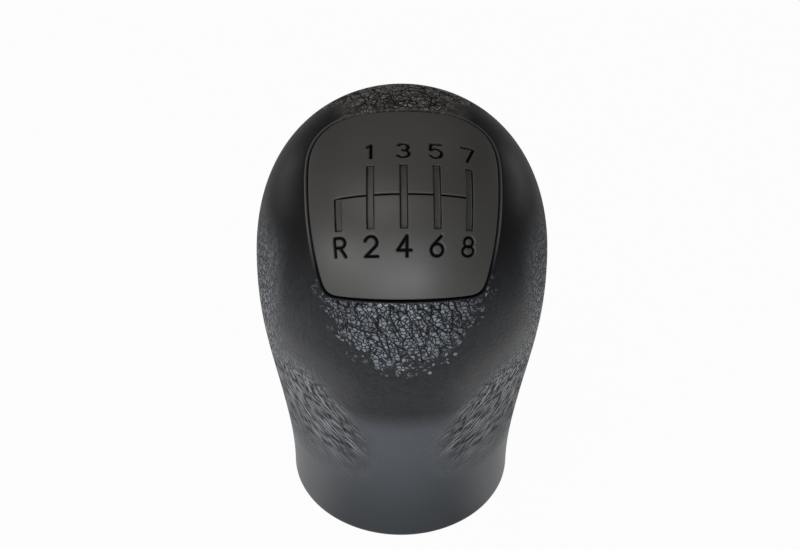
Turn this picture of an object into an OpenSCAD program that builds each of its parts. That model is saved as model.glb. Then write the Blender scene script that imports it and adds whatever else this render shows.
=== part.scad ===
// Gear shift knob for an eight-speed gearbox with a double H gate.
// Millimetres. Z is up and the origin lies on the lever's axis, in the plane that the
// foot of the neck stands in. The pattern plate faces the front, towards -Y.

/* [Head] */
// Width of the head across its widest section
head_w = 76.6; // [70:0.2:90]
// Reach of the head in front of the lever's axis
head_front = 37.4; // [35:0.1:44]
// Reach of the head behind the lever's axis
head_back = 45.6; // [38:0.2:56]
// Height of the widest section above the foot
head_z = 75; // [68:0.5:90]
// Height of the whole knob
top_z = 117.5; // [110:0.5:130]
// Fullness of the dome: 2 is round, more is squarer at the shoulders
dome_fullness = 2.64; // [2:0.04:3]

/* [Neck] */
// Outside diameter of the neck at its foot
neck_d = 60; // [57:0.5:66]
// Height where the front of the head leaves the neck
chin_z = 34; // [20:1:42]
// Height where the sides of the head leave the neck
side_rise_z = 3; // [3:1:20]
// Height where the back of the head leaves the neck
back_rise_z = 8; // [3:1:20]
// Radius of the rounded foot of the neck
foot_r = 2.2; // [1.4:0.2:3.4]

/* [Core] */
// Outside diameter of the core's skirt
core_d = 50; // [48:0.5:52]
// Wall of the skirt
core_wall = 2.6; // [2:0.1:3.2]
// Height of the skin's lip below the skirt
lip_h = 4; // [3:0.25:5]
// Thickness of the deck that closes the skirt
deck_t = 3.5; // [2.5:0.25:5]
// Diameter of the flanges that key the foam to the core
flange_d = 58; // [50:0.5:60]
// Thickness of the flanges and fins
key_t = 2; // [1.5:0.1:2.5]
// Number of flanges up the core
key_count = 3; // [2:1:4]
// Number of upright fins, and of holes in each flange
fin_count = 6; // [4:1:8]
// Diameter of the holes that the foam runs through
key_hole_d = 7; // [4:0.5:8]

/* [Lever socket] */
// Diameter of the hole for the lever's thread, at the crests
thread_bore_d = 14.5; // [12:0.1:16]
// Outside diameter of the brass bush, over its knurling
bush_d = 22; // [20:0.25:24]
// Length of the brass bush without its collar
bush_h = 28; // [20:1:34]
// Height of the mouth of the socket
socket_z = 24; // [22:0.5:30]
// Wall of the socket
socket_wall = 3; // [2.4:0.1:3.6]
// Diameter of the well above the socket
well_d = 18; // [12:0.5:20]

/* [Pattern plate] */
// Tilt of the middle of the plate above the horizontal, in degrees
plate_tilt = 66.5; // [62:0.5:70]
// Width of the plate, measured round the head
plate_w = 51; // [48:0.2:52]
// Length of the plate, measured over the head
plate_len = 59.2; // [56:0.2:60]
// Thickness of the plate
plate_t = 2.2; // [2:0.1:2.8]
// Seam between the plate and the skin
plate_gap = 0.3; // [0.2:0.05:0.5]
// Thickness of the gasket under the plate
gasket_t = 0.8; // [0.6:0.1:1.2]
// Width of the rim that carries the plate
rim_w = 6; // [5:0.25:7]
// Depth of the tub inside the rim
tub_h = 12; // [10:0.5:14]
// Width of each hook under the plate
hook_w = 5; // [4:0.5:6]

/* [Gate] */
// Spacing of the gate's columns
gate_pitch = 8.4; // [7.6:0.1:9]
// Length of each arm of the gate, above and below the cross bar
gate_arm = 9.1; // [7:0.1:10]
// Width of the upright grooves
gate_groove_w = 1.5; // [1:0.1:1.8]
// Depth of the upright grooves
gate_groove_depth = 0.7; // [0.4:0.05:1]
// Width of the cross bar's groove
gate_bar_w = 0.9; // [0.6:0.1:1.2]
// Depth of the cross bar's groove
gate_bar_depth = 0.5; // [0.3:0.05:0.6]
// Distance of the cross bar below the middle of the plate
gate_drop = 1.6; // [0:0.1:3]

/* [Neck ring] */
// Bore of the ring in the mouth of the neck
ring_bore_d = 39; // [36:0.5:40]
// Height of the ring's barrel above the foot
ring_h = 15; // [12:0.5:17]
// Number of catches round the ring
catch_count = 3; // [2:1:6]

/* [Hidden] */
$fn = 96;

// Clearance of pieces that slide into one another
fit = 0.15;
// Clearance of curved faces that lie on one another
rest = 0.12;
// Overlap that lets joined shapes share volume, and cuts run past faces
lap = 0.5;

head_r = head_w / 2;
neck_r = neck_d / 2;
dome_h = top_z - head_z;
core_r = core_d / 2;
hollow_r = core_r - core_wall;

// Points round each section, and sections up the foot, the sides and the dome
around = 72;
foot_steps = 4;
side_steps = 16;
dome_steps = 12;

// Heights of the lowest and highest flange, and of the top of the fins and the column
key_low_z = 52;
key_high_z = 82;
fin_top_z = top_z - 27;
column_top_z = top_z - 14;
deck_top = socket_z + deck_t;

// Bush: its knurled ends, the waist between them, its collar and the lead into its bore
bush_r = bush_d / 2;
knurl_teeth = 36;
knurl_depth = 0.6;
knurl_h = bush_h * 0.36;
bush_waist = 0.4;
collar_t = 2;
collar_reach = 2;
bush_lead = 0.9;

// Socket round the bush
socket_r = bush_r + fit;
column_r = socket_r + socket_wall;
socket_top = socket_z + bush_h + fit;
socket_roof = 3;

// Distance from the middle of the head to the plate, which turns lengths into angles
plate_reach = 43;
deg_per_mm = 180 / (PI * plate_reach);
// Squareness of the plate's outline at its top and at its bottom corners
plate_top_square = 4;
plate_foot_square = 16;
// Share by which the plate's lower corners draw in
plate_taper = 0.09;
plate_chamfer = 0.3;
// Points round the plate's outline, and the rings from its middle to the outline, as shares:
// even ones for the plate, closer ones under the rim for the core, and few for cuts
edge_points = 96;
plate_rings = [for (k = [1 : 6]) k / 6];
core_rings = [0.4, 0.75, 0.88, 1];
cut_rings = [0.5, 1];
// Steps along each groove of the gate
groove_steps = 8;
gate_columns = [-2 : 2];

// Depths under the skin at which the plate, its gasket and the rim meet
gasket_depth = plate_t + rest;
rim_depth = gasket_depth + gasket_t + rest;
// How far the rim reaches past the plate's outline, and the depth of the tub and of its floor
rim_margin = 2;
tub_depth = rim_depth + tub_h;
tub_floor = 2.5;
// Distance of the gasket's outer edge inside the plate's outline, and its width
gasket_inset = 0.75;
gasket_band = 2.5;
// Depth that reaches past the skin
past_skin = -2;

// Hooks under the plate: their places over it, thickness, barb, tip and root in the plate,
// how far they reach down the rim, the room beside them and their distance from the rim
hook_over = plate_len * 0.2;
hook_t = 1.5;
hook_barb = 0.8;
hook_tip = 1.5;
hook_root = 0.8;
hook_grip = 2;
hook_room = 6;
hook_gap = 1.8;
hook_inset = rim_w - rim_margin + hook_gap;
hook_places = [for (i = [-1, 1], k = [-1, 1]) [i * (plate_w / 2 - hook_inset), k * hook_over]];

// Neck ring, its flange in the skin's lip and its catches in the core's pockets
lip_bore_r = hollow_r + 0.8;
ring_flange_r = lip_bore_r - fit;
ring_barrel_r = hollow_r - fit;
catch_z = 9;
catch_h = 2.5;
catch_w = 6;
catch_reach = 0.9;

function clamp(v, low, high) = min(high, max(low, v));
function ease(t) = (1 - cos(180 * clamp(t, 0, 1))) / 2;
function rounded_foot(z) = z >= foot_r ? 0 : foot_r - sqrt(foot_r ^ 2 - (foot_r - z) ^ 2);

// Reach of one side of the body at a height: neck, swell and dome
function dome_share(z) = (1 - clamp((z - head_z) / dome_h, 0, 1) ^ dome_fullness) ^ (1 / dome_fullness);
function reach(z, head, rise_z) = z > head_z
    ? head * dome_share(z)
    : neck_r + (head - neck_r) * ease((z - rise_z) / (head_z - rise_z)) - rounded_foot(z);

function section(z) = [
    for (i = [0 : around - 1])
        let (a = 360 * i / around)
        [reach(z, head_r, side_rise_z) * cos(a),
         sin(a) < 0 ? reach(z, head_front, chin_z) * sin(a) : reach(z, head_back, back_rise_z) * sin(a),
         z]
];

section_heights = concat(
    [for (i = [0 : foot_steps - 1]) foot_r * (1 - cos(90 * i / foot_steps))],
    [for (i = [0 : side_steps]) foot_r + (head_z - foot_r) * i / side_steps],
    [for (i = [1 : dome_steps - 1]) head_z + dome_h * sin(90 * i / dome_steps) ^ (2 / dome_fullness)]
);

// Closed solid through a stack of rings with equal numbers of points, with a point at each end
module loft(rings, low_point, high_point) {
    n = len(rings[0]);
    last = len(rings) - 1;
    low = n * len(rings);
    points = concat([for (ring = rings) each ring], [low_point, high_point]);
    walls = [
        for (k = [0 : last - 1], i = [0 : n - 1])
            let (j = (i + 1) % n)
            each [[k * n + i, (k + 1) * n + j, k * n + j], [k * n + i, (k + 1) * n + i, (k + 1) * n + j]]
    ];
    bottom = [for (i = [0 : n - 1]) [low, i, (i + 1) % n]];
    top = [for (i = [0 : n - 1]) [low + 1, last * n + (i + 1) % n, last * n + i]];
    polyhedron(points, concat(walls, bottom, top), convexity = 8);
}

module body_form() {
    loft([for (z = section_heights) section(z)], [0, 0, 0], [0, 0, top_z]);
}

// Point on or under the skin of the dome, by its distance across and over the plate
function skin_ray(across, over) =
    let (turn = across * deg_per_mm, rise = plate_tilt + over * deg_per_mm)
    [sin(turn), -cos(turn) * cos(rise), cos(turn) * sin(rise)];
function skin_distance(ray) =
    let (depth = ray.y < 0 ? head_front : head_back,
         flat = norm([ray.x / head_r, ray.y / depth]))
    (flat ^ dome_fullness + abs(ray.z / dome_h) ^ dome_fullness) ^ (-1 / dome_fullness);
function under_skin(across, over, depth) =
    let (ray = skin_ray(across, over))
    [0, 0, head_z] + ray * (skin_distance(ray) - depth);

// Outline of the plate: evenly spaced places on a square, drawn in to round its corners
function square_place(t) =
    let (side = floor(t), along = 2 * (t - side) - 1)
    side == 0 ? [1, along] : side == 1 ? [-along, 1] : side == 2 ? [-1, -along] : [along, -1];
function plate_edge(t, grow) =
    let (place = square_place(t),
         square = place.y > 0 ? plate_top_square : plate_foot_square,
         share = place * (abs(place.x) ^ square + abs(place.y) ^ square) ^ (-1 / square),
         draw_in = share.y < 0 ? 1 - plate_taper * share.y ^ 2 : 1)
    [(plate_w / 2 * draw_in + grow) * share.x, (plate_len / 2 + grow) * share.y];

// Slab that follows the dome inside the plate's outline, from one depth under the skin to another
module dome_slab(grow, depth_top, depth_bottom, shares, chamfer = 0) {
    outline = outline_points(grow);
    inner = outline_points(grow - chamfer);
    lower = [for (share = shares) dome_ring(outline * share, depth_bottom)];
    rim = chamfer > 0 ? [dome_ring(outline, depth_top + chamfer)] : [];
    upper = [for (k = [len(shares) - 1 : -1 : 0]) dome_ring(inner * shares[k], depth_top)];
    loft(concat(lower, rim, upper), under_skin(0, 0, depth_bottom), under_skin(0, 0, depth_top));
}
function outline_points(grow) = [for (i = [0 : edge_points - 1]) plate_edge(4 * i / edge_points, grow)];
function dome_ring(points, depth) = [for (p = points) under_skin(p.x, p.y, depth)];

module square_band(inner, outer, low, high) {
    translate([inner, low]) square([outer - inner, high - low]);
}

// Outer form of the core, which the foam is moulded round
module core_form() {
    translate([0, 0, lip_h]) cylinder(r = core_r, h = deck_top - lip_h);
    translate([0, 0, socket_z]) cylinder(r = column_r, h = column_top_z - socket_z);
    for (k = [0 : key_count - 1])
        translate([0, 0, key_low_z + (key_high_z - key_low_z) * k / (key_count - 1)]) flange();
    for (i = [0 : fin_count - 1])
        rotate(360 * i / fin_count)
            translate([column_r - lap, -key_t / 2, deck_top - lap])
                cube([core_r - column_r + lap, key_t, fin_top_z - deck_top + lap]);
    dome_slab(rim_margin, rim_depth, tub_depth + tub_floor, core_rings);
}

// Flange with a hole between each two fins
module flange() {
    hole_ring = (column_r + flange_d / 2) / 2;
    difference() {
        cylinder(d = flange_d, h = key_t);
        for (i = [0 : fin_count - 1])
            rotate(360 * (i + 0.5) / fin_count)
                translate([hole_ring, 0, -lap]) cylinder(d = key_hole_d, h = key_t + 2 * lap, $fn = 32);
    }
}

module grip_cover() {
    color([0.14, 0.14, 0.15])
    difference() {
        body_form();
        core_form();
        // the mouth in the lip
        translate([0, 0, -lap]) cylinder(r = lip_bore_r, h = lip_h + 2 * lap);
        // the window that the plate lies in
        dome_slab(plate_gap, past_skin, rim_depth + lap, cut_rings);
    }
}

module grip_core() {
    color([0.22, 0.22, 0.22])
    difference() {
        core_form();
        // inside of the skirt
        translate([0, 0, lip_h - lap]) cylinder(r = hollow_r, h = socket_z - lip_h + lap);
        translate([0, 0, socket_z - lap]) cylinder(r = socket_r, h = bush_h + fit + lap);
        // the well and the tub, open under the plate
        translate([0, 0, socket_top + socket_roof]) cylinder(d = well_d, h = top_z);
        dome_slab(rim_margin - rim_w, past_skin, tub_depth, cut_rings);
        for (place = hook_places) hook_slot(place);
        // pockets for the neck ring's catches
        catches(catch_reach + 2 * fit, catch_w + 2 * fit, catch_z - fit, catch_z + catch_h + fit);
    }
}

module pattern_plate() {
    color([0.27, 0.27, 0.27]) {
        difference() {
            dome_slab(0, 0, plate_t, plate_rings, plate_chamfer);
            gate();
        }
        for (place = hook_places) hook(place);
    }
}

// Way that the plate is pressed home, and how far a hook goes that way to catch the rim
press_way = [0, -cos(plate_tilt), sin(plate_tilt)];
function hook_reach(place) =
    (rim_depth - plate_t + hook_root) / (skin_ray(place.x, place.y) * press_way) + hook_grip;

// Section of a hook or its slot, drawn from its root down, with the barb outwards
module hook_section(place, grow, width) {
    down = -hook_reach(place);
    translate(under_skin(place.x, place.y, plate_t - hook_root))
        rotate([90 - plate_tilt, 0, 0])
            mirror([place.x < 0 ? 1 : 0, 0, 0])
                rotate([90, 0, 0])
                    translate([0, 0, -width / 2])
                        linear_extrude(width)
                            polygon(grow == 0
                                ? [[-hook_t, 0], [-hook_t, down - hook_tip], [0, down - hook_tip],
                                   [hook_barb, down], [0, down], [0, 0]]
                                : [[-hook_room, 0], [-hook_room, down - hook_tip - grow],
                                   [hook_barb + grow, down - hook_tip - grow],
                                   [hook_barb + grow, down + grow], [grow, down + grow], [grow, 0]]);
}

module hook(place) {
    hook_section(place, 0, hook_w);
}

module hook_slot(place) {
    hook_section(place, fit, hook_w + 2 * fit);
}

// Groove that follows the skin between two places on the plate
module groove(from, to, width, depth) {
    run = to - from;
    side = [-run.y, run.x] / norm(run) * width / 2;
    function corner(t, s, d) = let (p = from + run * t + side * s) under_skin(p.x, p.y, d);
    rings = [
        for (k = [0 : groove_steps])
            let (t = k / groove_steps)
            [corner(t, -1, depth), corner(t, 1, depth), corner(t, 1, past_skin), corner(t, -1, past_skin)]
    ];
    middle_depth = (depth + past_skin) / 2;
    loft(rings, corner(0, 0, middle_depth), corner(1, 0, middle_depth));
}

// Upright grooves of the gate, joined by its cross bar
module gate() {
    bar = -gate_drop;
    for (c = gate_columns) {
        x = c * gate_pitch;
        // reverse, the first column, has only its lower arm
        top = c == gate_columns[0] ? bar : bar + gate_arm;
        groove([x, bar - gate_arm], [x, top], gate_groove_w, gate_groove_depth);
    }
    groove([-2 * gate_pitch, bar], [2 * gate_pitch, bar], gate_bar_w, gate_bar_depth);
}

// Band that runs round under the plate's edge, built corner by corner
module plate_gasket() {
    outer = outline_points(-gasket_inset);
    inner = outline_points(-gasket_inset - gasket_band);
    low_depth = gasket_depth + gasket_t;
    corners = [
        for (i = [0 : edge_points - 1])
            each [under_skin(outer[i].x, outer[i].y, gasket_depth), under_skin(inner[i].x, inner[i].y, gasket_depth),
                  under_skin(inner[i].x, inner[i].y, low_depth), under_skin(outer[i].x, outer[i].y, low_depth)]
    ];
    walls = [
        for (i = [0 : edge_points - 1], c = [0 : 3])
            let (next = 4 * ((i + 1) % edge_points), d = (c + 1) % 4)
            each [[4 * i + c, next + c, next + d], [4 * i + c, next + d, 4 * i + d]]
    ];
    color([0.1, 0.1, 0.1]) polyhedron(corners, walls, convexity = 8);
}

module threaded_bush() {
    color([0.78, 0.62, 0.3])
    difference() {
        union() {
            translate([0, 0, socket_z - collar_t]) cylinder(r = bush_r + collar_reach, h = collar_t);
            translate([0, 0, socket_z - lap]) cylinder(r = bush_r - knurl_depth - bush_waist, h = bush_h);
            for (low = [socket_z, socket_z + bush_h - knurl_h])
                translate([0, 0, low]) linear_extrude(knurl_h) knurl_outline();
        }
        translate([0, 0, socket_z - collar_t - lap])
            cylinder(r = thread_bore_d / 2, h = bush_h + collar_t + 2 * lap);
        // the leads at both ends of the bore
        for (end = [[socket_z - collar_t, 0], [socket_z + bush_h, 180]])
            translate([0, 0, end[0]])
                rotate([end[1], 0, 0])
                    translate([0, 0, -lap])
                        cylinder(r1 = thread_bore_d / 2 + bush_lead + lap, r2 = thread_bore_d / 2, h = bush_lead + lap);
    }
}

module knurl_outline() {
    polygon([
        for (i = [0 : 2 * knurl_teeth - 1])
            let (a = 180 * i / knurl_teeth, r = bush_r - (i % 2) * knurl_depth)
            [r * cos(a), r * sin(a)]
    ]);
}

// Wedges or pockets round the neck ring's barrel
module catches(reach, side, low, high) {
    for (i = [0 : catch_count - 1])
        rotate(90 + 360 * i / catch_count)
            translate([ring_barrel_r - lap, -side / 2, low])
                cube([reach + lap, side, high - low]);
}

module neck_ring() {
    color([0.18, 0.18, 0.19])
    difference() {
        union() {
            rotate_extrude() {
                square_band(ring_bore_d / 2, ring_barrel_r, 0, ring_h);
                square_band(ring_bore_d / 2, ring_flange_r, 0, lip_h - rest);
            }
            catches(catch_reach, catch_w, catch_z, catch_z + catch_h);
        }
        translate([0, 0, -lap]) cylinder(r = ring_bore_d / 2, h = ring_h + 2 * lap);
    }
}

grip_cover();
grip_core();
pattern_plate();
plate_gasket();
threaded_bush();
neck_ring();
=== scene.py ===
# %% [markdown]
# # A gear shift knob, dressed for its picture
# The solids of the knob are already made and packed. This lesson loads them, makes the two
# pieces that the hand touches as fine smooth meshes, the grained skin and the engraved plate,
# and gives every piece a finish of its own. Nothing is moved or resized: one frame holds all.

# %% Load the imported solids
import math

import bmesh
import bpy
import numpy as np
from mathutils import Matrix, Quaternion, Vector


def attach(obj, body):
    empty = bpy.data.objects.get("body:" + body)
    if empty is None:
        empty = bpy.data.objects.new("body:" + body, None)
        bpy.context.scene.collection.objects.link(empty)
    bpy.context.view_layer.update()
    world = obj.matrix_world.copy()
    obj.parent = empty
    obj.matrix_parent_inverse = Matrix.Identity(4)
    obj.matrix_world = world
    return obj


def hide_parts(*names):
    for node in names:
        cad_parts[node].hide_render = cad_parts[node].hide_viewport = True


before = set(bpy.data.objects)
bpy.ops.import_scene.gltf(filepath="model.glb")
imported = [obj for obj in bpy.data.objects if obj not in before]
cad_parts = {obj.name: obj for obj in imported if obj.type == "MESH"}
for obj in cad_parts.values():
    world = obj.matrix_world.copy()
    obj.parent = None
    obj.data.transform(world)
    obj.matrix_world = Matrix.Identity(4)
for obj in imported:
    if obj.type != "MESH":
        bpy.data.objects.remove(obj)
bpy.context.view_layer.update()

print("nodes:", sorted(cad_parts))

# %% [markdown]
# ## The sizes that shape the head
# The real knob was drawn from a few sizes: how wide the head is, how far it reaches forwards
# and backwards, where it is widest and how full its dome is. The same few sizes are repeated
# here in metres, so that the fine meshes lie on the same surface as the solids.

# %% Sizes of the body
MM = 0.001
HEAD_HALF = 38.3 * MM
HEAD_FRONT = 37.4 * MM
HEAD_BACK = 45.6 * MM
HEAD_Z = 75 * MM
TOP_Z = 117.5 * MM
DOME_H = TOP_Z - HEAD_Z
FULLNESS = 2.64
NECK_R = 30 * MM
CHIN_Z = 34 * MM
SIDE_RISE_Z = 3 * MM
BACK_RISE_Z = 8 * MM
FOOT_R = 2.2 * MM
HEAD_CENTRE = np.array([0, 0, HEAD_Z])
print("head", round(2 * HEAD_HALF / MM, 1), "mm wide, knob", round(TOP_Z / MM, 1), "mm high")

# %% Sizes of the plate and its seam
PLATE_TILT = math.radians(66.5)
PLATE_REACH = 43 * MM
PLATE_W = 51 * MM
PLATE_LEN = 59.2 * MM
PLATE_T = 2.2 * MM
PLATE_TOP_SQUARE = 4
PLATE_FOOT_SQUARE = 16
PLATE_TAPER = 0.09
PLATE_GAP = 0.3 * MM
SEAM_IN = 0.9 * MM
SEAM_DROP = 0.35 * MM
print("the plate's solid is", round(PLATE_W / MM, 1), "mm wide and", round(PLATE_LEN / MM, 1), "mm long")

# %% [markdown]
# ## Where the skin is, in any direction
# Above its widest section the head is one rounded form, so a ray from the middle of the head
# meets it at a distance that a single formula gives. Below that section the body is a stack of
# sections whose sides ease from the neck out to the head. Working from such rules, instead of
# sculpting by eye, keeps the seam of the plate and the skin flush with each other.

# %% Rays, distances and sections
def skin_ray(across, over):
    """Direction from the middle of the head to a place on the plate, in metres across and over it."""
    turn = across / PLATE_REACH
    rise = PLATE_TILT + over / PLATE_REACH
    return np.stack([np.sin(turn), -np.cos(turn) * np.cos(rise), np.cos(turn) * np.sin(rise)], axis=-1)


def skin_distance(rays):
    """How far the skin of the dome is from the middle of the head along each ray."""
    reach = np.where(rays[..., 1] < 0, HEAD_FRONT, HEAD_BACK)
    flat = np.hypot(rays[..., 0] / HEAD_HALF, rays[..., 1] / reach)
    return (flat**FULLNESS + np.abs(rays[..., 2] / DOME_H) ** FULLNESS) ** (-1 / FULLNESS)


def under_skin(rays, depth):
    """Places at a depth under the dome's skin."""
    return HEAD_CENTRE + rays * (skin_distance(rays) - depth)[..., None]


def ease(t):
    return (1 - np.cos(np.pi * np.clip(t, 0, 1))) / 2


def section(z, turns, inset=0.0):
    """One closed section of the body below the head's widest height."""
    low = FOOT_R - z
    foot = FOOT_R - math.sqrt(FOOT_R**2 - low**2) if low > 0 else 0.0

    def reach(head, rise):
        return NECK_R + (head - NECK_R) * ease((z - rise) / (HEAD_Z - rise)) - foot - inset

    side = reach(HEAD_HALF, SIDE_RISE_Z)
    depth = np.where(np.sin(turns) < 0, reach(HEAD_FRONT, CHIN_Z), reach(HEAD_BACK, BACK_RISE_Z))
    return np.stack([side * np.cos(turns), depth * np.sin(turns), np.full_like(turns, z)], axis=-1)


plate_middle = skin_ray(np.zeros(1), np.zeros(1))
print("the plate's middle is", round(float(skin_distance(plate_middle)[0]) / MM, 1), "mm from the head's")

# %% [markdown]
# ## The outline of the plate
# The window in the skin and the plate that fills it share one outline, a rounded square with
# soft upper corners and tighter lower ones. It is found by spacing places evenly round a
# square and drawing each one in, which keeps the points even along the sides. The solids meet
# with sharp edges. Here the skin's edge is rolled, and the roll takes a little of the plate, so
# that the seam lies as far in as in the photograph.

# %% Outline of the window and the plate
def square_places(count):
    """Places spaced evenly round a square, starting at its lower right corner."""
    t = np.arange(count) * 4 / count
    side = np.floor(t).astype(int)
    along = 2 * (t - side) - 1
    one = np.ones_like(along)
    x = np.select([side == 0, side == 1, side == 2, side == 3], [one, -along, -one, along])
    y = np.select([side == 0, side == 1, side == 2, side == 3], [along, one, -along, -one])
    return t, np.stack([x, y], axis=-1)


def plate_place(place, grow=0.0):
    """Turns a place on or in the square into metres across and over the plate."""
    square = np.where(place[..., 1] > 0, PLATE_TOP_SQUARE, PLATE_FOOT_SQUARE)
    edge = np.max(np.abs(place), axis=-1)
    unit = place / np.maximum(edge, 1e-9)[..., None]
    total = np.maximum((np.abs(unit) ** square[..., None]).sum(-1), 1e-9)
    share = unit * (total ** (-1 / square) * edge)[..., None]
    draw_in = np.where(share[..., 1] < 0, 1 - PLATE_TAPER * share[..., 1] ** 2, 1.0)
    across = (PLATE_W / 2 * draw_in + grow - SEAM_IN) * share[..., 0]
    over = (PLATE_LEN / 2 + grow - SEAM_IN) * share[..., 1] - SEAM_DROP
    return across, over


across, over = plate_place(square_places(256)[1])
print("the plate in the picture is", round(np.ptp(across) / MM, 1), "by", round(np.ptp(over) / MM, 1), "mm")

# %% [markdown]
# ## Growing a skin ring by ring
# A lofted form can be grown from one ring of points: extrude the ring's edges, move the new
# ring into place and go on. It leaves clean four-sided faces that follow the form, which is
# what a glossy grained surface needs, because stray long faces would show in its highlights.

# %% Helpers for rings
def as_vectors(places):
    return [Vector(p) for p in places.tolist()]


def first_ring(mesh, places):
    ring = bmesh.ops.create_circle(mesh, cap_ends=False, segments=len(places), radius=1)["verts"]
    for vert, place in zip(ring, as_vectors(places)):
        vert.co = place
    return ring


def ring_edges(mesh, ring):
    return [mesh.edges.get((ring[i - 1], ring[i])) for i in range(len(ring))]


def next_ring(mesh, ring, places):
    """Extrudes the ring and moves the new one to its places."""
    made = bmesh.ops.extrude_edge_only(mesh, edges=ring_edges(mesh, ring))["geom"]
    new = {part for part in made if isinstance(part, bmesh.types.BMVert)}
    after = [next(e.other_vert(v) for e in v.link_edges if e.other_vert(v) in new) for v in ring]
    for vert, place in zip(after, as_vectors(places)):
        vert.co = place
    return after


def finish_mesh(mesh, name, smooth_angle=math.radians(40)):
    """Closes a bmesh into an object whose faces are smooth up to an angle."""
    bmesh.ops.recalc_face_normals(mesh, faces=mesh.faces)
    data = bpy.data.meshes.new(name)
    mesh.to_mesh(data)
    mesh.free()
    piece = bpy.data.objects.new(name, data)
    bpy.context.scene.collection.objects.link(piece)
    data.shade_smooth()
    data.set_sharp_from_angle(angle=smooth_angle)
    print(name, "has", len(data.polygons), "faces")
    return piece


# %% [markdown]
# ## The grained skin
# On the real knob this is a soft foamed skin, moulded in one shot round a stiff core. It rolls
# over the edge of the plate's window, runs down the head and the neck, turns under at the foot
# and ends in a lip inside the mouth. It could be a solid cut by a window, but a cut leaves a
# ragged edge on a curved form. Growing it outwards from the window keeps that edge clean. The
# roll keeps a value at each point, how deep in the seam it lies, from which the material paints
# shade in the seam and a highlight on the roll.

# %% Grow the skin from the window to the lip
AROUND = 256
DOME_RINGS = 44
SIDE_RINGS = 56
FOOT_RINGS = 6
ROLL_R = 0.9 * MM
SKIN_T = 2.9 * MM
CORE_R = 25.05 * MM
LIP_R = 23.2 * MM
LIP_H = 4 * MM
LIP_ROUND = 0.4 * MM
FOOT_INNER_R = 25.2 * MM
ROLL_ANGLES = (0, 22, 45, 68, 90)
# How strongly each step of the roll is painted with the seam's shade.
SEAM_SHADE_SHARES = (1, 1, 1, 0.7, 0)
INNER_RISE_Z = 46 * MM

window_t, window_places = square_places(AROUND)
turns = (window_t - 0.5) * math.pi / 2


def window_ring(grow, depth):
    return under_skin(skin_ray(*plate_place(window_places, grow)), np.full(AROUND, depth))


def dome_ring(share, depth, grow):
    """A ring between the window's edge and the widest section of the head."""
    start = skin_ray(*plate_place(window_places, grow))
    equator = section(HEAD_Z, turns) - HEAD_CENTRE
    equator /= np.linalg.norm(equator, axis=-1)[:, None]
    rays = start * (1 - share) + equator * share
    rays /= np.linalg.norm(rays, axis=-1)[:, None]
    return under_skin(rays, np.full(AROUND, depth))


def build_skin():
    mesh = bmesh.new()
    seam_shade = mesh.verts.layers.float.new("seam_shade_share")
    ring = start = first_ring(mesh, window_ring(PLATE_GAP, SKIN_T))
    ring = next_ring(mesh, ring, window_ring(PLATE_GAP, 2 * ROLL_R))
    for angle, share in zip(np.radians(ROLL_ANGLES), SEAM_SHADE_SHARES):
        out = ROLL_R * (1 - math.cos(angle))
        ring = next_ring(mesh, ring, window_ring(PLATE_GAP + out, ROLL_R * (1 - math.sin(angle))))
        # Each ring of the roll keeps how strongly the seam's painted shade covers it.
        for vert in ring:
            vert[seam_shade] = share
    rolled = PLATE_GAP + ROLL_R
    for k in range(1, DOME_RINGS + 1):
        ring = next_ring(mesh, ring, dome_ring(k / DOME_RINGS, 0.0, rolled))
    for z in np.linspace(HEAD_Z, FOOT_R, SIDE_RINGS + 1)[1:]:
        ring = next_ring(mesh, ring, section(z, turns))
    for angle in np.linspace(0, math.pi / 2, FOOT_RINGS + 1)[1:]:
        ring = next_ring(mesh, ring, section(FOOT_R * (1 - math.sin(angle)), turns))

    def round_ring(radius, z):
        return np.stack([radius * np.cos(turns), radius * np.sin(turns), np.full(AROUND, z)], axis=-1)

    lip = [(FOOT_INNER_R, 0), (LIP_R + LIP_ROUND, 0), (LIP_R, LIP_ROUND), (LIP_R, LIP_H), (CORE_R, LIP_H)]
    for radius, z in lip:
        ring = next_ring(mesh, ring, round_ring(radius, z))
    for z in np.linspace(LIP_H, INNER_RISE_Z, 8)[1:]:
        ring = next_ring(mesh, ring, round_ring(CORE_R, z))
    for z in np.linspace(INNER_RISE_Z, HEAD_Z, 10)[1:]:
        ring = next_ring(mesh, ring, section(z, turns, SKIN_T))
    for k in range(DOME_RINGS - 1, 0, -4):
        ring = next_ring(mesh, ring, dome_ring(k / DOME_RINGS, SKIN_T, rolled))
    bmesh.ops.bridge_loops(mesh, edges=ring_edges(mesh, ring) + ring_edges(mesh, start))
    return finish_mesh(mesh, "grained_skin")


skin = build_skin()
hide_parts("grip_cover")
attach(skin, "root")

# %% [markdown]
# ## The strokes of the gate and its numbers
# The shift pattern is sunk into the plate by the mould. Each groove or numeral is a set of
# strokes: straight runs and arcs with a width and a depth. A numeral could be a cut-out of a
# typeface, but strokes of one width are what a milling cutter leaves in a mould, and they
# follow the curve of the plate without any cutting.

# %% Strokes of the numerals, in a cell one high
def arc(cx, cy, rx, ry, start, end, steps=14):
    a = np.radians(np.linspace(start, end, steps))
    return [(cx + rx * math.cos(t), cy + ry * math.sin(t)) for t in a]


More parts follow.
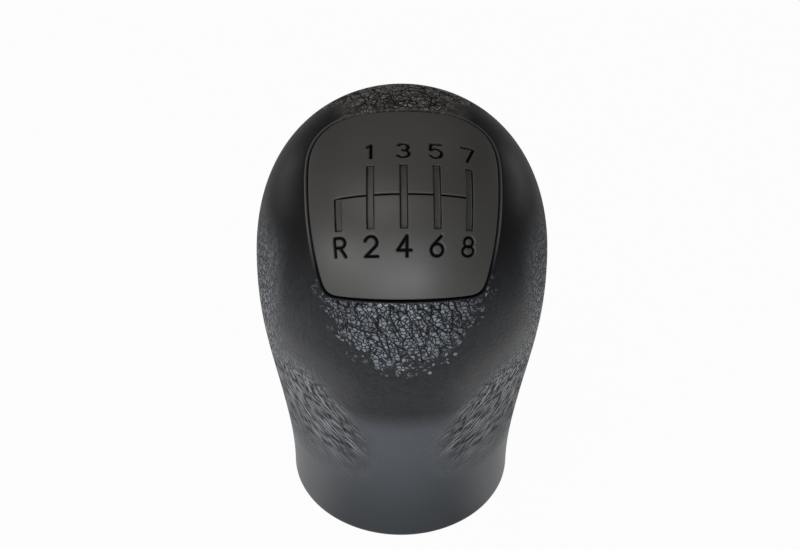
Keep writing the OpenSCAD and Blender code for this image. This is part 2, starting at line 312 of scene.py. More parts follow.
NUMERALS = {
    "1": [[(-0.16, 0.30), (0.02, 0.5), (0.02, -0.5)]],
    "2": [arc(0, 0.2, 0.3, 0.3, 165, -35) + [(-0.3, -0.5), (0.32, -0.5)]],
    "3": [arc(0, 0.245, 0.27, 0.255, 150, -90), arc(0, -0.245, 0.31, 0.255, 90, -150)],
    "4": [[(0.14, -0.5), (0.14, 0.5), (-0.32, -0.2), (0.34, -0.2)]],
    "5": [[(0.28, 0.5), (-0.22, 0.5), (-0.26, 0.06)] + arc(0, -0.17, 0.31, 0.33, 140, -145)],
    "6": [[(0.2, 0.5), (-0.2, 0.05)] + arc(0, -0.19, 0.3, 0.31, 150, -210, 24)],
    "7": [[(-0.3, 0.5), (0.3, 0.5), (-0.06, -0.5)]],
    "8": [arc(0, 0.25, 0.24, 0.25, 0, 360, 22), arc(0, -0.23, 0.3, 0.27, 0, 360, 24)],
    "R": [[(-0.26, -0.5), (-0.26, 0.5), (0.04, 0.5)] + arc(0.04, 0.24, 0.25, 0.26, 90, -90)
          + [(-0.26, -0.02)], [(0.02, -0.02), (0.3, -0.5)]],
}
print("strokes are ready for", *NUMERALS)

# %% Place the strokes on the plate
GATE_PITCH = 8.2 * MM
GATE_ARM = 8.7 * MM
GATE_DROP = 2 * MM
GROOVE_W = 1.7 * MM
GROOVE_DEPTH = 0.7 * MM
BAR_W = 0.55 * MM
BAR_DEPTH = 0.5 * MM
NUMERAL_H = 5 * MM
NUMERAL_STROKE = 0.75 * MM
NUMERAL_DEPTH = 0.55 * MM
ROW_ABOVE = 13.9 * MM
ROW_BELOW = 13 * MM
UPPER_ROW = "1357"
LOWER_ROW = "R2468"

bar_over = -GATE_DROP
columns = [c * GATE_PITCH for c in (-2, -1, 0, 1, 2)]
grooves = []
for index, x in enumerate(columns):
    top = bar_over if index == 0 else bar_over + GATE_ARM
    grooves.append((x - GROOVE_W / 2, bar_over - GATE_ARM, x + GROOVE_W / 2, top))
bar = [(columns[0], bar_over - BAR_W / 2, columns[-1], bar_over + BAR_W / 2)]


def numeral_strokes(character, x, over):
    return [[(x + px * NUMERAL_H, over + py * NUMERAL_H) for px, py in run] for run in NUMERALS[character]]


numerals = []
for character, x in zip(UPPER_ROW, columns[1:]):
    numerals += numeral_strokes(character, x, bar_over + ROW_ABOVE)
for character, x in zip(LOWER_ROW, columns):
    numerals += numeral_strokes(character, x, bar_over - ROW_BELOW)
print(len(grooves), "grooves,", len(numerals), "numeral strokes")

# %% [markdown]
# ## How deep the plate is sunk at each point
# For every point of a fine grid the script finds the distance to the nearest groove or stroke.
# Inside it the point is pushed down, and across a narrow band at its edge the depth fades in,
# as the slightly rounded edges of a moulded groove do. The gate's grooves have square ends, so
# they are boxes, and the numerals are runs of straight strokes.

# %% Distance to grooves and strokes
EDGE_SOFTNESS = 0.24 * MM


def distance_to_strokes(points, strokes):
    """Shortest distance from each point to any straight run of the strokes."""
    nearest = np.full(len(points), 1.0)
    for run in strokes:
        for a, b in zip(run[:-1], run[1:]):
            a, b = np.array(a), np.array(b)
            along = b - a
            t = np.clip((points - a) @ along / max(along @ along, 1e-12), 0, 1)
            nearest = np.minimum(nearest, np.linalg.norm(points - a - t[:, None] * along, axis=1))
    return nearest


def distance_to_boxes(points, boxes):
    """Distance outside the nearest box, or less than nothing inside it."""
    nearest = np.full(len(points), 1.0)
    for left, low, right, high in boxes:
        middle = np.array([(left + right) / 2, (low + high) / 2])
        half = np.array([(right - left) / 2, (high - low) / 2])
        nearest = np.minimum(nearest, np.max(np.abs(points - middle) - half, axis=1))
    return nearest


def sunk(gap):
    """From 0 outside a groove to 1 on its floor."""
    t = np.clip(0.5 - gap / EDGE_SOFTNESS, 0, 1)
    return t * t * (3 - 2 * t)


# %% [markdown]
# ## The pattern plate
# The real plate is one hard moulding, satin and slightly warm in tone, that lies flush in the
# skin. It starts here as a fine flat grid, is wrapped over the head, sunk along its strokes and
# then given its rounded edge, its side wall and its underside by extruding its border. Each
# point keeps how far it is in a groove, and how far in the bar or a numeral, for the material
# to paint shade in these cuts.

# %% Wrap and engrave the plate
PLATE_CELLS_X = 270
PLATE_CELLS_Y = 312
PLATE_EDGE_R = 0.35 * MM


def build_plate():
    mesh = bmesh.new()
    bmesh.ops.create_grid(mesh, x_segments=PLATE_CELLS_X, y_segments=PLATE_CELLS_Y, size=1)
    flat = np.array([v.co[:2] for v in mesh.verts])
    across, over = plate_place(flat, -PLATE_EDGE_R)
    points = np.stack([across, over], axis=-1)
    groove = sunk(distance_to_boxes(points, grooves))
    line = sunk(distance_to_boxes(points, bar))
    number = sunk(distance_to_strokes(points, numerals) - NUMERAL_STROKE / 2)
    depth = np.maximum.reduce([groove * GROOVE_DEPTH, line * BAR_DEPTH, number * NUMERAL_DEPTH])
    for vert, place in zip(mesh.verts, as_vectors(under_skin(skin_ray(across, over), depth))):
        vert.co = place
    # The shares of the grooves and of the bar and numerals, where the material paints shade.
    for name, values in (("groove_share", groove), ("cut_shade_share", np.maximum(line * (1 - groove), number))):
        layer = mesh.verts.layers.float.new(name)
        for vert, value in zip(mesh.verts, values.tolist()):
            vert[layer] = value
    border = [e for e in mesh.edges if e.is_boundary]
    ring = [border[0].verts[0]]
    edge = border[0]
    while len(ring) < len(border):
        vert = edge.other_vert(ring[-1])
        ring.append(vert)
        edge = next(e for e in vert.link_edges if e.is_boundary and e is not edge)
    squares = flat[[v.index for v in ring]]
    wall = []
    for angle in np.radians([30, 60, 90]):
        wall.append((-PLATE_EDGE_R * (1 - math.sin(angle)), PLATE_EDGE_R * (1 - math.cos(angle)), 1.0))
    wall += [(0.0, PLATE_T, 1.0)] + [(0.0, PLATE_T, share) for share in (0.75, 0.5, 0.25, 0.05)]
    for grow, depth, share in wall:
        across, over = plate_place(squares * share, grow)
        places = under_skin(skin_ray(across, over), np.full(len(ring), depth))
        ring = next_ring(mesh, ring, places)
    bmesh.ops.contextual_create(mesh, geom=ring_edges(mesh, ring))
    return finish_mesh(mesh, "gate_plate", math.radians(75))


plate = build_plate()
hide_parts("pattern_plate")
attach(plate, "root")

# %% [markdown]
# ## A small kit for finishes
# Every finish is a chain of nodes on the one shader. The helpers below only shorten the
# writing: they add a node and set its values, join two sockets, and do the sums that come up
# again and again, such as a soft step between two heights or a mix of two colours.

# %% Helpers for materials
def new_material(name, **sockets):
    material = bpy.data.materials.new(name)
    material.use_nodes = True
    shader = material.node_tree.nodes["Principled BSDF"]
    for socket, value in sockets.items():
        shader.inputs[socket.replace("_", " ").title().replace("Ior", "IOR")].default_value = value
    return material, shader


class Net:
    """Adds and joins the nodes of one material."""

    def __init__(self, material):
        self.tree = material.node_tree

    def add(self, kind, inputs=None, **settings):
        node = self.tree.nodes.new(kind)
        for name, value in settings.items():
            setattr(node, name, value)
        for name, value in (inputs or {}).items():
            if isinstance(value, bpy.types.NodeSocket):
                self.tree.links.new(value, node.inputs[name])
            else:
                node.inputs[name].default_value = value
        return node

    def link(self, out, into):
        self.tree.links.new(out, into)

    def math(self, operation, a, b=0.0, clamp=False):
        return self.add("ShaderNodeMath", {0: a, 1: b}, operation=operation, use_clamp=clamp).outputs[0]

    def product(self, value, *others):
        for other in others:
            value = self.math("MULTIPLY", value, other)
        return value

    def rest(self, share):
        return self.math("SUBTRACT", 1.0, share)

    def noise(self, vector, scale, detail):
        node = self.add("ShaderNodeTexNoise", {"Vector": vector, "Scale": scale, "Detail": detail})
        return node.outputs["Fac"]

    def span(self, value, low, high, to_low=0.0, to_high=1.0):
        """Maps low..high smoothly to to_low..to_high."""
        node = self.add(
            "ShaderNodeMapRange",
            {"Value": value, "From Min": low, "From Max": high, "To Min": to_low, "To Max": to_high},
            interpolation_type="SMOOTHSTEP",
        )
        return node.outputs["Result"]

    def mix_colour(self, factor, a, b):
        node = self.add("ShaderNodeMix", {"Factor": factor}, data_type="RGBA")
        for name, value in (("A", a), ("B", b)):
            socket = next(s for s in node.inputs if s.name == name and s.type == "RGBA")
            if isinstance(value, bpy.types.NodeSocket):
                self.link(value, socket)
            else:
                socket.default_value = (*value, 1)
        return next(s for s in node.outputs if s.type == "RGBA")

    def mix_value(self, factor, a, b):
        node = self.add("ShaderNodeMix", {"Factor": factor}, data_type="FLOAT")
        for name, value in (("A", a), ("B", b)):
            socket = next(s for s in node.inputs if s.name == name and s.type == "VALUE")
            if isinstance(value, bpy.types.NodeSocket):
                self.link(value, socket)
            else:
                socket.default_value = value
        return next(s for s in node.outputs if s.type == "VALUE")


def paint(piece, material):
    piece.data.materials.clear()
    piece.data.materials.append(material)
    print(piece.name, "is finished in", material.name)


# %% [markdown]
# ## Leather grain
# The mould for the skin is etched from real hide: pebbles between fine creases, about a
# millimetre wide, with a few longer cracks through them. A Voronoi pattern gives the pebbles,
# and its distance to the cell borders gives the creases. Round the flanks the hide is drawn out
# into wrinkles, and above the neck they sweep forwards like the folds of a sleeve. That needs a
# map of its own: how far round the knob a point is, moved by how far down it is, so that the
# map's lines follow the sweep. A second Voronoi pattern, stretched along them, is drawn on it.

# %% Where a point of the skin is
GRAIN_R = 38 * MM
SWEEP_TOP = 68 * MM
SWEEP_RATE = 20.0


def skin_maps(net, place):
    """How far aside, in front, round, up and along the sweep a point is, by name."""
    axes = net.add("ShaderNodeSeparateXYZ", {"Vector": place}).outputs
    front = net.math("MULTIPLY", axes["Y"], -1.0)
    turn = net.math("ABSOLUTE", net.math("ARCTAN2", axes["X"], front))
    below = net.math("MAXIMUM", net.math("SUBTRACT", SWEEP_TOP, axes["Z"]), 0.0)
    sweep = net.product(below, below, SWEEP_RATE)
    around = net.math("ADD", net.math("MULTIPLY", turn, GRAIN_R), sweep)
    aside = net.math("ABSOLUTE", axes["X"])
    return {"aside": aside, "front": front, "turn": turn, "height": axes["Z"], "around": around}


print("at the foot the map is moved by", round(SWEEP_RATE * SWEEP_TOP**2 / MM), "mm")

# %% [markdown]
# ## Pebbles and wrinkles
# Two patterns are enough for the whole skin. Round pebbles cover the front, the top and the
# back, and long wrinkles in bundles cover the flanks and the folds. A picture of leather could
# be wrapped round the knob instead, but it would stretch on the dome and show a join. A pattern
# that is worked out from the place of each point does neither.

# %% Pebbles and wrinkles
# Each pattern has its cells in a metre and how wide its creases are, as a share of a cell.
PEBBLES = (900.0, 0.15)
CRACKS = (260.0, 0.085)
WRINKLES = (1350.0, 0.26)
BUNDLES = (560.0, 0.1)
# Each shake has its waves in a metre and how far it moves the map.
PEBBLE_SHAKE = (300.0, 1.6 * MM)
WRINKLE_SHAKE = (420.0, 0.7 * MM)
CRACK_LEAN = (0.0, -0.5, 0.0)
CRACK_STRETCH = (0.62, 1.0, 2.1)
WRINKLE_SHARE = 0.17
SHORTER_ABOVE = 55 * MM
SHORTER_SHARE = 0.2


def loosened(net, vector, scale, amount):
    """Shakes a map with noise, so that no cell border runs straight."""
    noise = net.add("ShaderNodeTexNoise", {"Vector": vector, "Scale": scale, "Detail": 2.0}).outputs["Color"]
    middle = net.add("ShaderNodeVectorMath", {0: noise, 1: (0.5, 0.5, 0.5)}, operation="SUBTRACT").outputs[0]
    nudge = net.add("ShaderNodeVectorMath", {0: middle, "Scale": amount}, operation="SCALE").outputs[0]
    return net.add("ShaderNodeVectorMath", {0: vector, 1: nudge}, operation="ADD").outputs[0]


def pebbles(net, vector, scale, crease, dimensions="3D"):
    """1 on the pebbles and 0 in the creases between them."""
    cells = net.add(
        "ShaderNodeTexVoronoi", {"Vector": vector, "Scale": scale},
        feature="DISTANCE_TO_EDGE", voronoi_dimensions=dimensions,
    ).outputs["Distance"]
    return net.span(cells, 0.0, crease)


def pebble_tone(net, vector, scale, dimensions="3D"):
    """One value for the whole of each pebble."""
    cells = net.add(
        "ShaderNodeTexVoronoi", {"Vector": vector, "Scale": scale},
        feature="F1", voronoi_dimensions=dimensions,
    ).outputs["Color"]
    return net.add("ShaderNodeSeparateColor", {"Color": cells}).outputs["Red"]


def round_grain(net, place):
    """Pebbles with longer cracks through them, and each pebble's tone."""
    loose = loosened(net, place, *PEBBLE_SHAKE)
    stretched = net.add(
        "ShaderNodeMapping",
        {"Vector": loose, "Rotation": CRACK_LEAN, "Scale": CRACK_STRETCH},
        vector_type="TEXTURE",
    ).outputs[0]
    grain = net.product(pebbles(net, loose, *PEBBLES), pebbles(net, stretched, *CRACKS))
    return grain, pebble_tone(net, loose, PEBBLES[0])


def drawn_grain(net, at):
    """Wrinkles in bundles along the sweep, and each wrinkle's tone."""
    above = net.math("MAXIMUM", net.math("SUBTRACT", at["height"], SHORTER_ABOVE), 0.0)
    along = net.math("ADD", net.math("MULTIPLY", at["height"], WRINKLE_SHARE),
                     net.math("MULTIPLY", above, SHORTER_SHARE))
    drawn = net.add("ShaderNodeCombineXYZ", {"X": at["around"], "Y": along}).outputs[0]
    loose = loosened(net, drawn, *WRINKLE_SHAKE)
    grain = net.product(pebbles(net, loose, *WRINKLES, "2D"), pebbles(net, loose, *BUNDLES, "2D"))
    return grain, pebble_tone(net, loose, WRINKLES[0], "2D")


print("a pebble is about", round(1 / PEBBLES[0] / MM, 1), "mm wide")

# %% [markdown]
# ## Where the grain shows
# The grain of the real skin differs from zone to zone. It is sharp under the plate and on a strip
# behind it, fades out round the head's shoulders and comes back on the flanks and in the folds
# above the neck. The same zones are painted pale, as a painted highlight on the pebbles there.
# Each zone is a product of soft steps in height, in turn and in depth.
# The zones could be painted on by hand, but steps are easy to move by a millimetre. The patch
# under the plate also ends pebble by pebble, because each pebble's tone moves its edge.

# %% Zones of the grain
PATCH_FOOT = 71.5 * MM
PATCH_RISE = 52 * MM
PATCH_TOP = (96.5 * MM, 91.5 * MM)
PATCH_RAGGED = 16 * MM
PATCH_SCATTER = 9 * MM
FLANK_SIDES = (0.90, 1.25)
FLANK_LEAST = 0.06
FLANK_RISE = 0.84
FLANK_TOP = (102 * MM, 86 * MM)
FLANK_FOOT = (22 * MM, 40 * MM)
BACK = (-18 * MM, -30 * MM)
FOLDS_TOP = (69 * MM, 52 * MM)
FOLDS_FOOT = (18 * MM, 34 * MM)
FOLDS_FRONT = (21 * MM, 31 * MM)
FOLDS_SIDES = (0.16, 0.52)
UNDER_PLATE = (20 * MM, 31 * MM)
BEHIND_PLATE = (12 * MM, -4 * MM)
TOP_STRIP = (88 * MM, 98 * MM)
TOP_STRIP_SIDES = (19 * MM, 8 * MM)
TOP_STRIP_WIDENS = (-18 * MM, 3.0)
WRINKLES_FROM = (19 * MM, 24 * MM)
WRINKLES_END = (2.4, 1.8)


def patch_zone(net, place, at, tone):
    """The patch under the plate, with its curved and ragged lower edge."""
    ragged = net.math("MULTIPLY", net.math("SUBTRACT", net.noise(place, 330.0, 2.0), 0.5), PATCH_RAGGED)
    scatter = net.math("MULTIPLY", net.math("SUBTRACT", tone, 0.5), PATCH_SCATTER)
    low = net.math("ADD", net.product(at["turn"], at["turn"], PATCH_RISE), PATCH_FOOT)
    above = net.math("ADD", net.math("SUBTRACT", at["height"], low), net.math("ADD", ragged, scatter))
    return net.product(net.span(above, -0.5 * MM, 2 * MM), net.span(at["height"], *PATCH_TOP))


def drawn_zone(net, at):
    """The flanks and the folds above the neck."""
    flank = net.math("ADD", net.math("MULTIPLY", net.span(at["turn"], *FLANK_SIDES), FLANK_RISE), FLANK_LEAST)
    flank_top = net.math("MAXIMUM", net.span(at["height"], *FLANK_TOP), net.span(at["front"], *BACK))
    flank = net.product(flank, flank_top, net.span(at["height"], *FLANK_FOOT))
    folds = net.product(net.span(at["height"], *FOLDS_TOP), net.span(at["around"], *FOLDS_FRONT),
                        net.span(at["height"], *FOLDS_FOOT), net.span(at["turn"], *FOLDS_SIDES))
    return net.math("MAXIMUM", flank, folds)


def top_zone(net, at, on_top):
    """The strip behind the plate, which widens down the back."""
    start, rate = TOP_STRIP_WIDENS
    wider = net.product(net.math("MAXIMUM", net.math("SUBTRACT", start, at["front"]), 0.0), rate)
    return net.product(on_top, net.span(net.math("SUBTRACT", at["aside"], wider), *TOP_STRIP_SIDES))


def seam_shade_zone(net, at):
    """The painted shadow in the seam round the plate, and a painted highlight on its roll at the sides."""
    share = net.add("ShaderNodeAttribute", attribute_name="seam_shade_share").outputs["Fac"]
    under_plate = net.span(at["front"], *UNDER_PLATE)
    # Painted highlight: the middle of the roll is painted light, except under the plate.
    rim_highlight = net.product(share, net.rest(share), 4.0)
    rim_highlight = net.math("MULTIPLY", rim_highlight, net.math("SUBTRACT", 0.8, under_plate), clamp=True)
    # Painted shade in the seam: full under the plate, a quarter of it at the sides.
    return net.product(share, net.mix_value(under_plate, 0.25, 1.0)), rim_highlight


print("the patch under the plate starts", round(PATCH_FOOT / MM, 1), "mm up")

# %% [markdown]
# ## The colour and the gloss of the skin
# The skin is dyed through and nearly black. Its pebbles are painted paler where they catch light,
# a painted highlight that is bluish under the plate and on the flanks and a little brown behind
# it, and each pebble has a tone of its own. The creases are painted darkest, as painted shade,
# and are dullest. The neck is plain, and painted paler towards its top and darker towards the
# foot, as painted shade.
# The grain is pressed into the surface by a bump, about 0.4 mm deep. It could be real relief,
# but that would take millions of faces, because the creases are only tenths of a millimetre wide.

# %% Grain material
GRAIN_DEPTH = 0.4 * MM
NECK_TOP = (52 * MM, 40 * MM)
BLACK_TONES = ((0.008, 0.008, 0.009), (0.012, 0.012, 0.013))
# Painted highlight: the pale tones that the pebbles of the grain zones are painted with.
COOL_PEBBLE_SHEEN_TONES = ((0.052, 0.059, 0.072), (0.180, 0.203, 0.245))
WARM_PEBBLE_SHEEN_TONES = ((0.082, 0.076, 0.070), (0.300, 0.282, 0.262))
WRINKLE_SHEEN_TONES = ((0.080, 0.084, 0.094), (0.350, 0.364, 0.400))
# Painted shade: the neck's tone at its foot, in the floor's shade, and at its top.
NECK_SHADED_TONES = ((0.028, 0.032, 0.037), (0.076, 0.084, 0.096))
# Painted shade: the tone the creases are painted, darker than the black skin.
CREASE_SHADE_TONE = (0.002, 0.002, 0.003)
# Painted highlight: the tone of the light painted on the seam's roll at the plate's sides.
RIM_HIGHLIGHT_TONE = (0.110, 0.110, 0.114)
PATCH_ENDS = (0.22, 0.5)
# Painted highlight falling off: the patch's pebbles are painted darker towards its ends.
PATCH_HIGHLIGHT_FALLOFF = -0.55
HEAD_ROUGH, NECK_ROUGH, CREASE_ROUGH = 0.34, 0.46, 0.85
HEAD_SHINE = (80 * MM, 92 * MM, 0.26, 0.14)
NECK_SHINE, GRAIN_SHINE, SEAM_SHINE = 0.5, 0.95, 0.05


def press_grain(net, shader, place, grain, tone, strength):
    """Presses the grain into the surface."""
    swell = net.product(net.noise(place, 420.0, 2.0), 0.8)
    uneven = net.math("ADD", swell, net.product(tone, 0.5))
    relief = net.product(net.math("ADD", grain, uneven), strength)
    relief = net.math("ADD", relief, net.math("MULTIPLY", net.noise(place, 2600.0, 3.0), 0.1))
    bump = net.add("ShaderNodeBump", {"Height": relief, "Strength": 0.9, "Distance": GRAIN_DEPTH})
    net.link(bump.outputs[0], shader.inputs["Normal"])


def grain_material():
    material, shader = new_material("leather_grain")
    net = Net(material)
    place = net.add("ShaderNodeTexCoord").outputs["Object"]
    at = skin_maps(net, place)
    pebble_grain, tone = round_grain(net, place)
    wrinkle_grain, wrinkle_tone = drawn_grain(net, at)

    on_top = net.product(net.span(at["height"], *TOP_STRIP), net.span(at["front"], *BEHIND_PLATE))
    on_flank = net.math("SUBTRACT", net.span(at["around"], *WRINKLES_FROM), on_top, clamp=True)
    on_flank = net.product(on_flank, net.span(at["turn"], *WRINKLES_END))
    grain = net.mix_value(on_flank, pebble_grain, wrinkle_grain)

    patch = patch_zone(net, place, at, tone)
    drawn = drawn_zone(net, at)
    seam_shade, rim_highlight = seam_shade_zone(net, at)
    strength = net.math("MAXIMUM", net.math("MAXIMUM", patch, drawn), top_zone(net, at, on_top))
    strength = net.product(strength, net.rest(seam_shade))
    press_grain(net, shader, place, grain, tone, strength)

    # The painted highlight of the patch falls off towards its ends.
    highlight_falloff = net.product(net.span(at["turn"], *PATCH_ENDS), patch, PATCH_HIGHLIGHT_FALLOFF)
    tone = net.product(tone, net.math("ADD", highlight_falloff, 1.0))
    tone = net.mix_value(on_flank, tone, wrinkle_tone)
    # Painted shade: the creases between pale pebbles are painted darkest.
    crease = net.math("MULTIPLY", net.rest(grain), strength, clamp=True)
    # The seam's painted shade joins the creases' darkest tone.
    crease = net.math("MAXIMUM", crease, seam_shade)
    neck = net.span(at["height"], *NECK_TOP)

    # Painted highlight: pale pebbles, bluish under the plate and on the flanks, warm behind it.
    cool = net.mix_colour(drawn, net.mix_colour(tone, *COOL_PEBBLE_SHEEN_TONES), net.mix_colour(tone, *WRINKLE_SHEEN_TONES))
    pale = net.mix_colour(on_top, cool, net.mix_colour(tone, *WARM_PEBBLE_SHEEN_TONES))
    black = net.mix_colour(net.noise(place, 38.0, 3.0), *BLACK_TONES)
    # Painted highlight: where a grain zone is strong, the black skin is painted pale.
    skin_tone = net.mix_colour(strength, black, pale)
    # Painted shade in the creases and the seam, and a painted highlight on the roll at the sides.
    skin_tone = net.mix_colour(rim_highlight, net.mix_colour(crease, skin_tone, CREASE_SHADE_TONE), RIM_HIGHLIGHT_TONE)
    # Painted shade: the neck is painted darker towards the foot.
    neck_shaded_tone = net.mix_colour(net.span(at["height"], 0.0, 44 * MM), *NECK_SHADED_TONES)
    plain = net.product(neck, net.rest(strength))
    net.link(net.mix_colour(plain, skin_tone, neck_shaded_tone), shader.inputs["Base Color"])

    rough = net.mix_value(crease, net.mix_value(neck, HEAD_ROUGH, NECK_ROUGH), CREASE_ROUGH)
    net.link(rough, shader.inputs["Roughness"])
    shine = net.product(net.math("MAXIMUM", patch, drawn), net.rest(crease))
    plain_shine = net.mix_value(neck, net.span(at["height"], *HEAD_SHINE), NECK_SHINE)
    shine = net.mix_value(shine, plain_shine, GRAIN_SHINE)
    net.link(net.mix_value(seam_shade, shine, SEAM_SHINE), shader.inputs["Specular IOR Level"])
    return material


paint(skin, grain_material())

# %% [markdown]
# ## Satin plate
# The plate is spark-eroded hard plastic: smoother than the skin, warm dark grey and with a very
# fine sparkle. The grooves are painted a little darker on their floor and dark at their walls,
# as painted shade. The bar and the numerals are painted dark all over, as the shade in a narrow
# cut that lets little light back out.

# %% Plate material
PLATE_FACE = ((0.050, 0.048, 0.046), (0.056, 0.054, 0.052))
# Painted shade: groove floors a little darker, walls, bar and numerals dark.
GROOVE_FLOOR_SHADE_TONE = (0.044, 0.043, 0.042)
CUT_SHADE_TONE = (0.002, 0.002, 0.002)
SPARK_DEPTH = 0.06 * MM
FACE_ROUGH = (0.40, 0.46)
CUT_ROUGH = 0.9
FACE_SHINE, CUT_SHINE = 0.5, 0.04


def plate_material():
    material, shader = new_material("satin_plate")
    net = Net(material)
    place = net.add("ShaderNodeTexCoord").outputs["Object"]
    groove = net.add("ShaderNodeAttribute", attribute_name="groove_share").outputs["Fac"]
    cut_shade = net.add("ShaderNodeAttribute", attribute_name="cut_shade_share").outputs["Fac"]
    # Painted shade: the groove walls are painted dark.
    wall = net.math("MULTIPLY", net.product(groove, net.rest(groove)), 4.0, clamp=True)
    mottle = net.noise(place, 60.0, 3.0)
    face = net.mix_colour(mottle, *PLATE_FACE)
    walled = net.mix_colour(wall, net.mix_colour(groove, face, GROOVE_FLOOR_SHADE_TONE), CUT_SHADE_TONE)
    # Painted shade: the bar and the numerals are painted dark all over.
    net.link(net.mix_colour(cut_shade, walled, CUT_SHADE_TONE), shader.inputs["Base Color"])
    spark = net.noise(place, 4200.0, 2.0)
    bump = net.add("ShaderNodeBump", {"Height": spark, "Strength": 0.25, "Distance": SPARK_DEPTH})
    net.link(bump.outputs[0], shader.inputs["Normal"])
    smooth = net.span(mottle, 0.3, 0.7, *FACE_ROUGH)
    net.link(net.mix_value(cut_shade, smooth, CUT_ROUGH), shader.inputs["Roughness"])
    shine = net.mix_value(net.math("MAXIMUM", wall, cut_shade), FACE_SHINE, CUT_SHINE)
    net.link(shine, shader.inputs["Specular IOR Level"])
    return material


paint(plate, plate_material())

# %% [markdown]
# ## The pieces inside the neck
# Seen from below, the mouth of the neck shows the plastic ring, the nylon core with its ribs
# and the brass bush. They keep their solids, and each gets its own finish: two tones that a
# cloudy noise mixes, a range of roughness and a fine bump.

# %% Materials of the inner pieces
MOULDED_GRAIN = (900.0, 0.08 * MM)
FOAM_GRAIN = (1600.0, 0.2 * MM)
NYLON_TONES = ((0.022, 0.022, 0.023), (0.034, 0.034, 0.035))
RING_TONES = ((0.030, 0.030, 0.031), (0.042, 0.042, 0.043))
FOAM_TONES = ((0.010, 0.010, 0.010), (0.018, 0.018, 0.018))
BRASS_TONES = ((0.62, 0.42, 0.16), (0.74, 0.54, 0.24))
INNER_FINISHES = {
    "grip_core": ("glass_filled_nylon", NYLON_TONES, (0.5, 0.62), MOULDED_GRAIN),
    "neck_ring": ("ring_plastic", RING_TONES, (0.4, 0.5), MOULDED_GRAIN),
    "plate_gasket": ("gasket_foam", FOAM_TONES, (0.85, 0.95), FOAM_GRAIN),
    "threaded_bush": ("turned_brass", BRASS_TONES, (0.22, 0.34), MOULDED_GRAIN, 1.0),
}


def inner_material(name, tones, rough, grain, metal=0.0):
    """A moulded or turned piece with a fine surface and a slightly uneven tone."""
    material, shader = new_material(name, metallic=metal)
    net = Net(material)
    place = net.add("ShaderNodeTexCoord").outputs["Object"]
    cloud = net.noise(place, 90.0, 4.0)
    net.link(net.mix_colour(cloud, *tones), shader.inputs["Base Color"])
    net.link(net.span(cloud, 0.3, 0.7, *rough), shader.inputs["Roughness"])
    scale, depth = grain
    fine = net.noise(place, scale, 3.0)
    bump = net.add("ShaderNodeBump", {"Height": fine, "Strength": 0.4, "Distance": depth})
    net.link(bump.outputs[0], shader.inputs["Normal"])
    return material


for node, finish in INNER_FINISHES.items():
    paint(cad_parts[node], inner_material(*finish))

# %% [markdown]
# ## Floor, background and light
# To the camera the floor is plain white, through the Light Path node, with a little of its own
# shading left in, so the knob's soft contact shadow stays. Black objects are drawn by what they
# mirror, so a photographer lays white cards on the floor. One in front brightens the grain
# under the plate, and two beside the foot brighten the sides of the neck. Here the cards are
# painted into the floor's reflection, and the floor between them mirrors darker.

# %% Floor with its cards
CAMERA_LIFT = 0.97
MIRROR_LIFT = 0.12


def white_share(net):
    """How much of the floor shows as plain white: most to the camera, the cards to reflections."""
    path = net.add("ShaderNodeLightPath").outputs
    place = net.add("ShaderNodeTexCoord").outputs["Object"]
    axes = net.add("ShaderNodeSeparateXYZ", {"Vector": place}).outputs
    aside = net.math("ABSOLUTE", axes["X"])
    front = net.math("MULTIPLY", axes["Y"], -1.0)
    front_card = net.math("MULTIPLY", net.span(aside, 0.11, 0.05), net.span(front, 0.08, 0.13))
    radius = net.add("ShaderNodeVectorMath", {0: place}, operation="LENGTH").outputs["Value"]
    turn = net.math("ARCTAN2", aside, front)
    side_card = net.math("MULTIPLY", net.span(radius, 0.150, 0.075), net.span(turn, 0.5, 1.1, 0.22, 1.0))
    cards = net.math("MAXIMUM", front_card, side_card)
    mirrored = net.math("MAXIMUM", path["Is Glossy Ray"], path["Is Transmission Ray"])
    mirrored = net.math("MULTIPLY", mirrored, net.math("MAXIMUM", cards, MIRROR_LIFT))
    return net.math("MAXIMUM", net.math("MULTIPLY", path["Is Camera Ray"], CAMERA_LIFT), mirrored)


def build_floor():
    mesh = bmesh.new()
    bmesh.ops.create_grid(mesh, x_segments=1, y_segments=1, size=4.0)
    data = bpy.data.meshes.new("floor")
    mesh.to_mesh(data)
    mesh.free()
    floor = bpy.data.objects.new("floor", data)
    bpy.context.scene.collection.objects.link(floor)
    material, shader = new_material("card_floor", base_color=(0.5, 0.5, 0.5, 1), roughness=0.9)
    net = Net(material)
    white = net.add("ShaderNodeEmission", {"Color": (1, 1, 1, 1), "Strength": 1.0})
    blend = net.add("ShaderNodeMixShader", {0: white_share(net), 1: shader.outputs[0], 2: white.outputs[0]})
    net.link(blend.outputs[0], material.node_tree.nodes["Material Output"].inputs["Surface"])
    paint(floor, material)
    return floor


build_floor()

# %% [markdown]
# ## Lamps
# A dark knob shows its form by the panels that it mirrors. Low panels in front give the neck
# and the plate their soft sheen, one from the left turns the light, two behind rim the sides,
# and two weaker ones above are a little warm. Each lamp is given by where it stands and how
# bright its face is, and its power follows from its size.

# %% World and lamps
KNOB_MIDDLE = Vector((0, 0, 70 * MM))
COOL = (0.95, 0.98, 1.0)
WARM = (1.0, 0.94, 0.87)


def build_world(strength=0.12):
    world = bpy.data.worlds.new("tent")
    world.use_nodes = True
    bpy.context.scene.world = world
    tree = world.node_tree
    net = Net(world)
    soft = tree.nodes["Background"]
    soft.inputs["Color"].default_value = (0.95, 0.97, 1.0, 1)
    soft.inputs["Strength"].default_value = strength
    white = net.add("ShaderNodeBackground", {"Color": (1, 1, 1, 1), "Strength": 1.0})
    path = net.add("ShaderNodeLightPath").outputs["Is Camera Ray"]
    blend = net.add("ShaderNodeMixShader", {0: path, 1: soft.outputs[0], 2: white.outputs[0]})
    net.link(blend.outputs[0], tree.nodes["World Output"].inputs["Surface"])


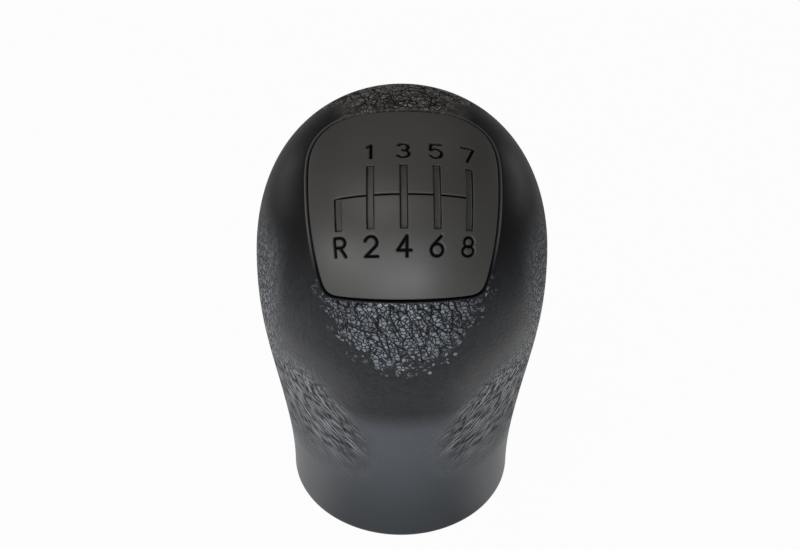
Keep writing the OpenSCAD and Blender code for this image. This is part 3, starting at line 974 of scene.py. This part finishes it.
def lamp(name, turn, rise, distance, size, radiance, tint=(1, 1, 1)):
    """A soft panel round the knob, placed by its angle from the front and above the horizon."""
    turn, rise = math.radians(turn), math.radians(rise)
    ahead = Vector((math.sin(turn) * math.cos(rise), -math.cos(turn) * math.cos(rise), math.sin(rise)))
    data = bpy.data.lights.new(name, "AREA")
    data.shape = "RECTANGLE"
    data.size, data.size_y = size
    data.energy = radiance * math.pi * size[0] * size[1]
    data.color = tint
    light = bpy.data.objects.new(name, data)
    light.location = KNOB_MIDDLE + ahead * distance
    light.rotation_euler = ahead.to_track_quat("Z", "Y").to_euler()
    bpy.context.scene.collection.objects.link(light)
    print(name, "gives", round(data.energy, 2), "W")


build_world()
lamp("front_low", 0, 3, 0.7, (0.5, 0.17), 6.0, COOL)
lamp("front_high", 0, 25, 0.72, (0.5, 0.34), 2.1, COOL)
lamp("front_left", -45, 14, 0.7, (0.45, 0.33), 3.4)
lamp("back_left", -125, 4, 0.7, (0.45, 0.22), 1.0)
lamp("back_right", 125, 4, 0.7, (0.45, 0.22), 1.1)
lamp("top", -60, 74, 0.7, (0.5, 0.4), 1.8, WARM)
lamp("back_top", 180, 45, 0.8, (0.6, 0.35), 0.45, WARM)

# %% [markdown]
# ## The camera
# The photograph looks down on the knob's front from about 42 degrees, with a lens long enough
# to keep the neck from shrinking much. The focal length follows from the knob's size in pixels.

# %% Camera
IMAGE_W = 800
SENSOR_MM = 36
CAMERA_ELEVATION = math.radians(42)
CAMERA_TURN = math.radians(1.1)
CAMERA_DISTANCE = 0.6
METRES_PER_PIXEL = 0.271 * MM
AIM = Vector((0, 3 * MM, 58 * MM))
AIM_PIXEL = (401.6, 302.9)
CAMERA_ROLL = math.radians(0.35)
IMAGE_CENTRE = (400.0, 274.5)


def build_camera():
    turn = Matrix.Rotation(-CAMERA_TURN, 3, "Z")
    forward = turn @ Vector((0, math.cos(CAMERA_ELEVATION), -math.sin(CAMERA_ELEVATION)))
    up = turn @ Vector((0, math.sin(CAMERA_ELEVATION), math.cos(CAMERA_ELEVATION)))
    data = bpy.data.cameras.new("camera")
    data.sensor_width = SENSOR_MM
    data.lens = CAMERA_DISTANCE / METRES_PER_PIXEL * SENSOR_MM / IMAGE_W
    camera = bpy.data.objects.new("camera", data)
    camera.location = AIM - forward * CAMERA_DISTANCE
    centre = AIM + up * (AIM_PIXEL[1] - IMAGE_CENTRE[1]) * METRES_PER_PIXEL
    centre.x -= (AIM_PIXEL[0] - IMAGE_CENTRE[0]) * METRES_PER_PIXEL
    look = centre - camera.location
    roll = Quaternion((0, 0, 1), CAMERA_ROLL)
    camera.rotation_euler = (look.to_track_quat("-Z", "Y") @ roll).to_euler()
    bpy.context.scene.collection.objects.link(camera)
    bpy.context.scene.camera = camera
    print("lens", round(data.lens, 1), "mm")


build_camera()
bpy.context.scene.view_settings.view_transform = "Standard"
